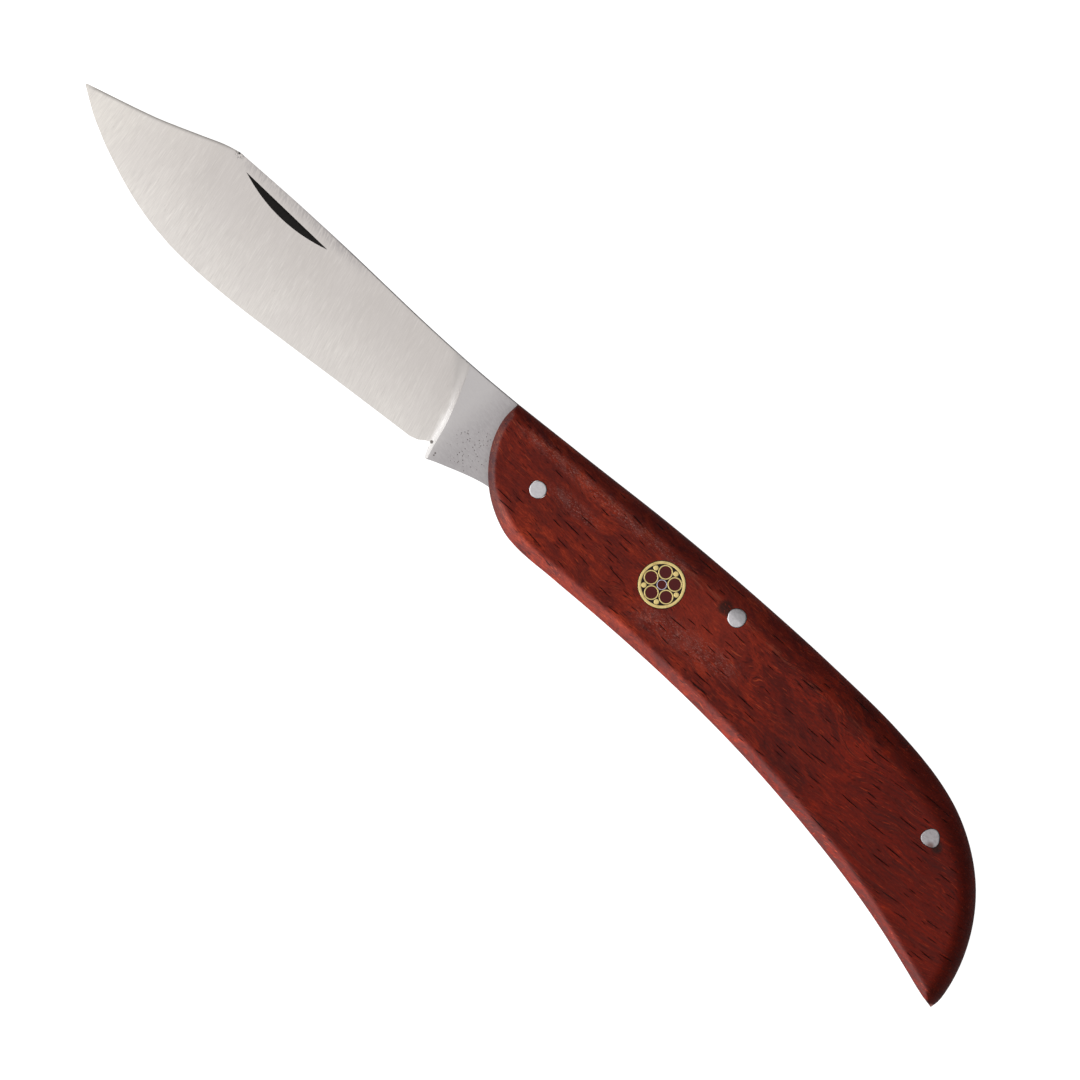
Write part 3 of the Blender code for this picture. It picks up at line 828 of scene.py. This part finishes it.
def build_inlay(side):
    """Fine tubes and rods in place of one inlay's CAD ones. Its resin keeps the CAD shape."""
    def tube(node, material, slot, wall, segments, fit=0.0):
        low, high = levels(node)
        outer = plan_radius(node) - fit
        section = tube_section(outer, outer - wall, low, high)
        mesh = turned_mesh(node + "_fine", spot(node), section, segments)
        add_piece(node + "_fine", mesh, [material], "handle", node, slot, 50)

    tube(f"inlay_{side}_sleeve", BRASS, "inlay_brass", SLEEVE_WALL, 128, SLEEVE_GAP)
    tube(f"inlay_{side}_core_tube", CORE_STEEL, "pin_steel", CORE_WALL, 48)
    for k in range(1, 6):
        tube(f"inlay_{side}_tube_{k}", BRASS, "inlay_brass", TUBE_WALL, 56)
        rod = f"inlay_{side}_rod_{k}"
        low, high = levels(rod)
        profile = [(0, high), (ROD_RADIUS * 0.6, high), (ROD_RADIUS - 0.04, high - 0.01),
                   (ROD_RADIUS, high - 0.05), (ROD_RADIUS, low + 0.05), (ROD_RADIUS - 0.04, low), (0, low)]
        mesh = turned_mesh(rod + "_fine", spot(rod), profile, 36)
        add_piece(rod + "_fine", mesh, [BRASS], "handle", rod, "inlay_brass", 50)
    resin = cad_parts[f"inlay_{side}_resin"]
    resin.data.materials.clear()
    resin.data.materials.append(resin_material(side))


build_inlay("left")
build_inlay("right")


# -------- the worked wood's surface

BACK_ROUND_DEPTH = 2.9
BELLY_BEVEL_DEPTH = 1.6
FRONT_BEVEL_DEPTH = 1.0
SANDED_DEPTH = 0.03
BACK_LINE = between(HANDLE, BUTT_POINT, FRONT_TOP)
BELLY_LINE = between(HANDLE, FRONT_TOP, BUTT_POINT)


def back_rounding(points):
    """Along the back: how far into the rounding a point lies, from 0 to 1, and how deep it is there."""
    distance, nearest = nearest_on(points, BACK_LINE, closed=False)
    along = nearest[:, 0]
    width = 2.6 + 2.4 * step_between(-8, 40, along) - 1.6 * step_between(78, 100, along)
    share = np.clip((width - distance) / width, 0, 0.9995)
    depth = BACK_ROUND_DEPTH * (0.6 + 0.4 * step_between(-10, 30, along))
    return share, depth * (0.45 * share ** 1.2 + 0.55 * (1 - np.sqrt(1 - share ** 2)))


def belly_bevel(points):
    """The same for the bevel along the belly and the front."""
    distance, nearest = nearest_on(points, BELLY_LINE, closed=False)
    along = nearest[:, 0]
    low = np.maximum(step_between(-5.5, -8.5, nearest[:, 1]), step_between(2, 8, along))
    slim = step_between(75, 100, along)
    width = 1.3 + 1.0 * low - 0.6 * slim
    share = np.clip((width - distance) / width, 0, 1)
    depth = FRONT_BEVEL_DEPTH + (BELLY_BEVEL_DEPTH - FRONT_BEVEL_DEPTH) * low - 0.4 * slim
    return share, depth * (0.6 * share + 0.4 * share ** 2)


def wood_drop(points):
    """How far the worked wood lies below its flat face, as the rims' roundings and bevels cut it."""
    lower = np.maximum(back_rounding(points)[1], belly_bevel(points)[1])
    wave = SANDED_DEPTH * np.sin(points[:, 0] / 9 + 0.7) * np.sin(points[:, 1] / 5 + points[:, 0] / 23)
    return lower + SANDED_DEPTH + wave * step_between(0.4, 0.0, lower)


# -------- pins

PIN_HEAD = 1.48
PIN_RING = 0.08
ORIGIN = np.zeros(2)


def round_head(_):
    return 0.96


def centre_head(angle):
    """Nearly round, with one side hammered out."""
    return 1.05 + 0.04 * math.cos(angle - 0.75) - 0.02 * math.cos(3 * angle)


def butt_head(angle):
    """A rounded triangle, its head spread wider than the rod."""
    return 1.04 + 0.06 * math.cos(3 * (angle + 0.30)) + 0.02 * math.cos(2 * angle)


PINS = [("pivot_pin", ORIGIN, round_head),
        ("centre_pin", CENTRE_PIN, centre_head),
        ("butt_pin", BUTT_PIN, butt_head)]


def build_pin(node, centre, shape):
    """A rivet whose two heads are sanded down together with the wood round them."""
    low, high = levels(node)
    crown = [(0, 0.0), (0.5, 0.002), (0.85, 0.006), (0.97, 0.015), (1.0, 0.045)]
    profile = [(PIN_HEAD * share, high - drop) for share, drop in crown]
    profile += [(PIN_HEAD, high - 1.2), (PIN_HEAD, low + 1.2)]
    profile += [(PIN_HEAD * share, low + drop) for share, drop in reversed(crown)]
    mesh = turned_mesh(node + "_peened", centre, profile, 72, shape)
    places = plan_of(mesh)
    sanded = wood_drop(places[:, :2]) * (np.abs(places[:, 2]) > high - 1)
    for vertex, drop in zip(mesh.vertices, sanded):
        vertex.co.z -= math.copysign(drop * MM, vertex.co.z - PIVOT.z)
    add_piece(node + "_peened", mesh, [PIN_STEEL], "handle", node, "pin_steel", 50)


for pin in PINS:
    build_pin(*pin)


# -------- wooden scales

PORE_TRIES = 3400
PORE_COUNT = 150
PORE_LENGTHS = (1.1, 1.6, 2.2, 3.0, 4.2)
PORE_REACH = 2.6  # a square of this half side holds any pore
PORE_DEPTH = 0.55  # of the pore's width
RIM_CLEARANCE = 0.9
HOLE_CLEARANCE = 0.35
RIM_ROWS = (0.06, 0.18, 0.4, 0.8, 1.2, 1.38, 1.9, 2.3, 2.5, 3.1, 3.7, 4.4, 5.1)
HOLE_ROWS = (0.35, 0.9)
FACE_MARGIN = 5.5
FACE_SPACING = 0.95


def lens(centre, length, width, angle):
    """A pore's outline and its floor line: a slit with pointed ends."""
    turn = np.array([[math.cos(angle), -math.sin(angle)], [math.sin(angle), math.cos(angle)]])
    stations = np.array([-0.5, -0.3, 0.0, 0.3, 0.5])
    half = np.array([0.0, 0.38, 0.5, 0.36, 0.0])
    upper = np.column_stack([stations * length, half * width])
    lower = np.column_stack([stations * length, -half * width])[::-1][1:-1]
    floor = np.column_stack([stations[1:-1] * length, np.zeros(3)])
    return np.vstack([upper, lower]) @ turn.T + centre, floor @ turn.T + centre


def scatter_pores(seed, holes):
    """Pores in the wood's face: slits along the grain, clear of each other, the rims and the holes.

    Each is its outline, its floor line and its width."""
    rng = random.Random(seed)
    kept = []
    middles = []
    low, high = HANDLE.min(0), HANDLE.max(0)
    for _ in range(PORE_TRIES):
        centre = np.array((rng.uniform(low[0], high[0]), rng.uniform(low[1], high[1])))
        length = rng.choice(PORE_LENGTHS)
        width = rng.uniform(0.08, 0.14) + 0.022 * length
        angle = GRAIN_START + 2 * GRAIN_RISE * centre[0] + rng.gauss(0, 0.05)
        outline, floor = lens(centre, length, width, angle)
        if not inside(outline, HANDLE).all() or distance_to(outline, HANDLE).min() < RIM_CLEARANCE:
            continue
        if any(distance_to(outline, hole).min() < HOLE_CLEARANCE or inside(outline, hole).any()
               for hole in holes):
            continue
        if middles:
            gap = np.abs(np.array(middles) - centre)
            if ((gap[:, 0] < length * 0.5 + 2.2) & (gap[:, 1] < 0.75)).any():
                continue
        middles.append(centre)
        kept.append((outline, floor, width))
        if len(kept) >= PORE_COUNT:
            break
    return kept


def scale_holes():
    """The holes for the pins and the inlay, and rows of points round each of them."""
    holes = [ring(centre, lambda a, f=shape: PIN_HEAD * f(a) + PIN_RING, 60) for _, centre, shape in PINS]
    holes.append(ring(INLAY, INLAY_HOLE_RADIUS, 96))
    rows = []
    for centre, radius, count in [(pin[1], PIN_HEAD, 40) for pin in PINS] + [(INLAY, INLAY_HOLE_RADIUS, 64)]:
        rows += [ring(centre, radius + PIN_RING + more, count) for more in HOLE_ROWS]
    return holes, rows


def in_pores(points, pores, reach):
    """Which points lie in a pore, or within the reach of its outline."""
    result = np.zeros(len(points), bool)
    for outline, _, _ in pores:
        index = np.nonzero(np.abs(points - outline.mean(0)).max(axis=1) < PORE_REACH)[0]
        if len(index):
            near = (distance_to(points[index], outline) < reach) | inside(points[index], outline)
            result[index[near]] = True
    return result


def mark_rims(mesh):
    """Mark how far each point lies into the back's rounding or into the belly's bevel."""
    places = plan_of(mesh)[:, :2]
    back_share, back_drop = back_rounding(places)
    bevel_share, bevel_drop = belly_bevel(places)
    set_attribute(mesh, "rounding", np.where(back_drop >= bevel_drop, back_share, 0.0))
    set_attribute(mesh, "bevel", np.where(bevel_drop > back_drop, bevel_share, 0.0))


def place_key(place):
    return round(place[0], 4), round(place[1], 4)


def build_scale(side, material, seed):
    """A wooden scale with its rims, holes and pores. The right one is turned over once it is made."""
    node = f"scale_{side}"
    low, high = levels(node)
    top_z, liner_z = (high, low) if side == "left" else (-low, -high)
    holes, hole_rows = scale_holes()
    pores = scatter_pores(seed, holes)
    grid = fill_grid(HANDLE, holes, FACE_MARGIN, FACE_SPACING)
    points = np.vstack([edge_rings(HANDLE, RIM_ROWS), *hole_rows, grid])
    points = np.vstack([points[~in_pores(points, pores, 0.14)]] + [floor for _, floor, _ in pores])
    depths = {place_key(place): PORE_DEPTH * width for _, floor, width in pores for place in floor}

    def top(places):
        return top_z - wood_drop(places) - [depths.get(place_key(place), 0.0) for place in places]

    lines = [(outline, True) for outline, _, _ in pores]
    mesh = solid_mesh(node + "_wood", [HANDLE, *holes], top, liner_z, points, lines, (0.3, 0.7))
    if side == "right":
        mesh.transform(Matrix.Translation((0, 0, 2 * PIVOT.z)) @ Matrix.Scale(-1, 4, (0, 0, 1)))
    middles = face_middles(mesh)
    outer_face = np.abs(middles[:, 2]) > liner_z + 0.2
    set_attribute(mesh, "pore", outer_face & in_pores(middles[:, :2], pores, 0.0), "FACE")
    mark_rims(mesh)
    add_piece(node + "_wood", mesh, [material], "handle", node, "wood", 38)


build_scale("left", WOOD_LEFT, 11)
build_scale("right", WOOD_RIGHT, 29)


# -------- liners and back spring

CHAMFER = 0.1


def build_slab(node, piece_name):
    """A flat steel piece from its CAD outline, with broken edges, on no body yet."""
    low, high = levels(node)
    loops = plan_loops(node)
    outer = refined(loops[0], 0.9)
    holes = [refined(loop, 0.4)[::-1] for loop in loops[1:]]

    def shave(places):
        return CHAMFER * np.clip(1 - distance_to(places, outer) / CHAMFER, 0, 1)

    mesh = solid_mesh(piece_name, [outer, *holes], lambda p: high - shave(p), lambda p: low + shave(p),
                      edge_rings(outer, (CHAMFER,)))
    return add_piece(piece_name, mesh, [FRAME_STEEL], None, node, "frame_steel", 30)


for liner in ("liner_left", "liner_right"):
    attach(build_slab(liner, liner + "_plate"), "handle")
# A place at the spring's front, level with the butt pin.
SPRING_FRONT = (plan_loops("back_spring")[0][:, 0].min(), BUTT_PIN[1])
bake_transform(build_slab("back_spring", "back_spring_bar"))


# -------- blade

BLADE = refined(plan_loops("blade")[0], 0.7, math.radians(11))
BLADE_BORE = ring(ORIGIN, 1.56, 64)
BLADE_RIM_ROWS = (0.12, 0.34, 0.6, 1.0, 1.5)
RICASSO_HALF = 1.45
SPINE_HALF = 1.4
TIP_HALF = 0.7
EDGE_HALF = 0.05
EDGE_SLOPE = 0.075
PLUNGE = np.array([(-24.0, 8.0), (-22.6, 5.0), (-21.5, 3.0), (-20.1, 0.3), (-19.1, -2.0), (-18.15, -4.4),
                   (-17.5, -6.6), (-17.0, -8.2), (-16.4, -9.8), (-15.8, -12.0)])
PLUNGE_TOP, PLUNGE_BOTTOM, PLUNGE_STEP = 6.2, -10.6, -0.4
PLUNGE_LINES = (1.0, 0.7, 0.5, 0.32, 0.16, 0.0, -0.12)  # shares of its width, ahead of its rear line
TIP = BLADE[np.argmin(BLADE[:, 0])]
HEEL = (-17.95, -7.85)
SHOULDER = (-2.75, 8.65)
EDGE_LINE = between(BLADE, TIP, HEEL)
SPINE_LINE = between(BLADE, SHOULDER, TIP)


def plunge_x(y):
    """Where the plunge ends and the flat ricasso starts."""
    return np.interp(y, PLUNGE[::-1, 1], PLUNGE[::-1, 0])


def plunge_width(y):
    """The plunge sweeps out toward the spine."""
    return 0.8 + 1.6 * step_between(-1.5, 6, y)


def blade_half(points):
    """Half the blade's thickness: a flat grind from spine to edge, a plunge, and a flat ricasso."""
    x, y = points[:, 0], points[:, 1]
    to_edge = distance_to(points, EDGE_LINE, closed=False)
    to_spine = distance_to(points, SPINE_LINE, closed=False)
    spine_half = SPINE_HALF - (SPINE_HALF - TIP_HALF) * step_between(-72, -101, x)
    share = to_spine / np.maximum(to_spine + to_edge, 1e-6)
    ground = spine_half + (EDGE_HALF - spine_half) * share
    ground = np.minimum(ground, EDGE_HALF + to_edge * EDGE_SLOPE)
    climb = np.clip(1 - (plunge_x(y) - x) / plunge_width(y), 0, 1)
    half = ground + (RICASSO_HALF - ground) * climb ** 1.8
    rim = distance_to(points, BLADE)
    clip = step_between(-73, -78, x)
    rear = step_between(-56, -44, x)
    broken = np.clip(1 - rim / (0.13 + 0.22 * clip), 0, 1) * (0.02 + 0.13 * clip + 0.08 * rear)
    return np.maximum(half - broken * step_between(0.6, 0.2, to_spine), 0.03)


def blade_mesh():
    """The ground blade with its bore, its faces following the plunge."""
    holes = [BLADE_BORE]
    points = np.vstack([edge_rings(BLADE, BLADE_RIM_ROWS), fill_grid(BLADE, holes, 2.0, 1.0)])
    chains = []
    ys = np.arange(PLUNGE_TOP, PLUNGE_BOTTOM, PLUNGE_STEP)
    for share in PLUNGE_LINES:
        line = np.column_stack([plunge_x(ys) - share * plunge_width(ys), ys])
        chains.append((line[inside(line, BLADE) & (distance_to(line, BLADE) > 0.14)], False))
    half_width = plunge_width(points[:, 1]) / 2
    clear = np.abs(points[:, 0] - plunge_x(points[:, 1]) + half_width) > half_width + 0.25
    points = points[clear | (distance_to(points, BLADE) < 0.13)]
    return solid_mesh("blade_ground", [BLADE, *holes], blade_half, lambda p: -blade_half(p), points, chains)


# The nail nick: its deepest point, its direction, and the wheel that cuts it.
NICK_LOWEST = (-62.05, 0.75, 0.48)
NICK_DIRECTION = math.radians(3.6)
NICK_WHEEL = {"radius": 55.0, "width": 2.4, "taper": 1.65, "tilt": math.radians(14)}


def nick_wheel():
    """The tapered, tilted wheel that cuts the nail nick, as the CAD has it."""
    radius, width, tilt = NICK_WHEEL["radius"], NICK_WHEEL["width"], NICK_WHEEL["tilt"]
    bm = bmesh.new()
    bmesh.ops.create_cone(bm, cap_ends=True, segments=720, radius1=radius * MM,
                          radius2=(radius - NICK_WHEEL["taper"]) * MM, depth=width * MM)
    mesh = bpy.data.meshes.new("nick_wheel")
    bm.to_mesh(mesh)
    bm.free()
    back = width / 2 * math.cos(tilt) + radius * math.sin(tilt)
    height = radius * math.cos(tilt) - width / 2 * math.sin(tilt)
    x, y, z = NICK_LOWEST
    offset = Matrix.Rotation(NICK_DIRECTION, 3, "Z") @ Vector((0, -back, 0))
    wheel = put_in_scene("nick_wheel", mesh)
    wheel.rotation_euler = (math.pi / 2 + tilt, 0, NICK_DIRECTION)
    wheel.location = (Vector((x, y, z + height)) + offset) * MM + PIVOT
    return wheel


def mark_blade(mesh):
    """Mark the ricasso, the plunge, and where each point lies between the spine and the edge."""
    places = plan_of(mesh)
    ahead = plunge_x(places[:, 1]) - places[:, 0]
    in_plunge = step_between(1.7, 0.7, ahead / plunge_width(places[:, 1]))
    to_spine = distance_to(places[:, :2], SPINE_LINE, closed=False)
    to_edge = distance_to(places[:, :2], EDGE_LINE, closed=False)
    set_attribute(mesh, "ricasso", step_between(0.05, -0.05, ahead))
    set_attribute(mesh, "plunge", in_plunge * step_between(-0.12, 0.0, ahead))
    set_attribute(mesh, "spine_band", step_between(2.2, 0.5, to_spine))
    set_attribute(mesh, "across", to_spine / (to_spine + to_edge))
    set_attribute(mesh, "spine_edge", step_between(0.2, 0.0, to_spine) * (places[:, 2] > 0.9))


def darken_nick(mesh):
    """Give the faces that the wheel has cut the second material."""
    middles = face_middles(mesh)
    near = (np.abs(middles[:, 0] - NICK_LOWEST[0]) < 10) & (np.abs(middles[:, 1] - NICK_LOWEST[1]) < 2.5)
    deep = (middles[:, 2] < blade_half(middles[:, :2]) - 0.012) & (middles[:, 2] > 0.2)
    mesh.polygons.foreach_set("material_index", (near & deep).astype(np.int32))


def build_blade():
    draft = put_in_scene("blade_draft", blade_mesh())
    wheel = nick_wheel()
    nick = draft.modifiers.new("nick", "BOOLEAN")
    nick.operation = "DIFFERENCE"
    nick.object = wheel
    bpy.context.view_layer.update()
    mesh = bpy.data.meshes.new_from_object(draft.evaluated_get(bpy.context.evaluated_depsgraph_get()))
    bpy.data.objects.remove(draft)
    bpy.data.objects.remove(wheel)
    add_piece("blade_ground", mesh, [BLADE_STEEL, NICK_STEEL], "blade", "blade", "blade_steel", 24)
    mark_blade(mesh)
    darken_nick(mesh)


build_blade()


# -------- studio

CAMERA_TILT = math.radians(1)
VIEW_MIDDLE = (6.35, -5.42, 3.5)
VIEW_WIDTH = 178.7
IMAGE_RIGHT = Vector((0.676, 0.736, 0)).normalized()
LENS = 300.0
SENSOR = 36.0
KEY_SIDE = -IMAGE_RIGHT
WORLD_FADE = (0.35, 1.0, 0.10, 1.05)  # from this facing to that, from this strength to that
FLOOR_SIZE = 3.0
FLOOR_GAP = 0.0002


def add_floor():
    """A white table, which the camera sees as pure white, without the knife's shadow."""
    mesh = bpy.data.meshes.new("floor")
    square = [(-1, -1), (1, -1), (1, 1), (-1, 1)]
    mesh.from_pydata([(x * FLOOR_SIZE / 2, y * FLOOR_SIZE / 2, 0) for x, y in square], [], [(0, 1, 2, 3)])
    floor = put_in_scene("floor", mesh)
    floor.location.z = -FLOOR_GAP
    s = Shader("studio_white")
    seen = s.add("ShaderNodeLightPath").outputs["Is Camera Ray"]
    mesh.materials.append(s.finish(
        Base_Color=s.mix(seen, (0.8, 0.8, 0.8), (0.3, 0.3, 0.3)), Roughness=0.9, Specular_IOR_Level=0.0,
        Emission_Color=(1, 1, 1), Emission_Strength=seen))


def add_softbox(name, toward, size, radiance):
    """A square soft light a metre away, which looks at the knife from the given direction."""
    data = bpy.data.lights.new(name, "AREA")
    data.size = size
    data.energy = radiance * math.pi * size * size
    light = put_in_scene(name, data)
    light.location = toward.normalized()
    light.rotation_euler = toward.to_track_quat("Z", "Y").to_euler()


def add_camera():
    """A long lens above the knife, almost straight down."""
    data = bpy.data.cameras.new("camera")
    data.lens = LENS
    data.sensor_width = SENSOR
    data.clip_end = 20
    camera = put_in_scene("camera", data)
    distance = VIEW_WIDTH * MM * LENS / SENSOR
    back = Vector((0, math.sin(CAMERA_TILT), math.cos(CAMERA_TILT)))
    target = Vector(VIEW_MIDDLE) * MM + PIVOT
    right = (IMAGE_RIGHT - back * IMAGE_RIGHT.dot(back)).normalized()
    up = back.cross(right)
    turn = Matrix((right, up, back)).transposed().to_4x4()
    camera.matrix_world = Matrix.Translation(target + back * distance) @ turn
    bpy.context.scene.camera = camera


def add_world():
    """Soft light that fades from the key side over the top to the far side."""
    world = bpy.data.worlds.new("studio")
    bpy.context.scene.world = world
    world.use_nodes = True
    nodes = Nodes(world.node_tree)
    direction = nodes.add("ShaderNodeTexCoord").outputs["Generated"]
    brightest = (KEY_SIDE + Vector((0, 0, 2.6))).normalized()
    facing = nodes.add("ShaderNodeVectorMath", {0: direction, 1: brightest}, operation="DOT_PRODUCT")
    background = world.node_tree.nodes["Background"]
    nodes.plug(background.inputs["Color"], (1, 1, 1))
    nodes.plug(background.inputs["Strength"], nodes.span(facing.outputs["Value"], *WORLD_FADE))


add_floor()
add_world()
add_softbox("key", KEY_SIDE + Vector((0, 0, 0.75)), 0.6, 3.4)
add_softbox("low_fill", Vector((-0.1, -1.0, 0.42)), 0.7, 2.3)
add_camera()
bpy.context.scene.view_settings.view_transform = "Standard"
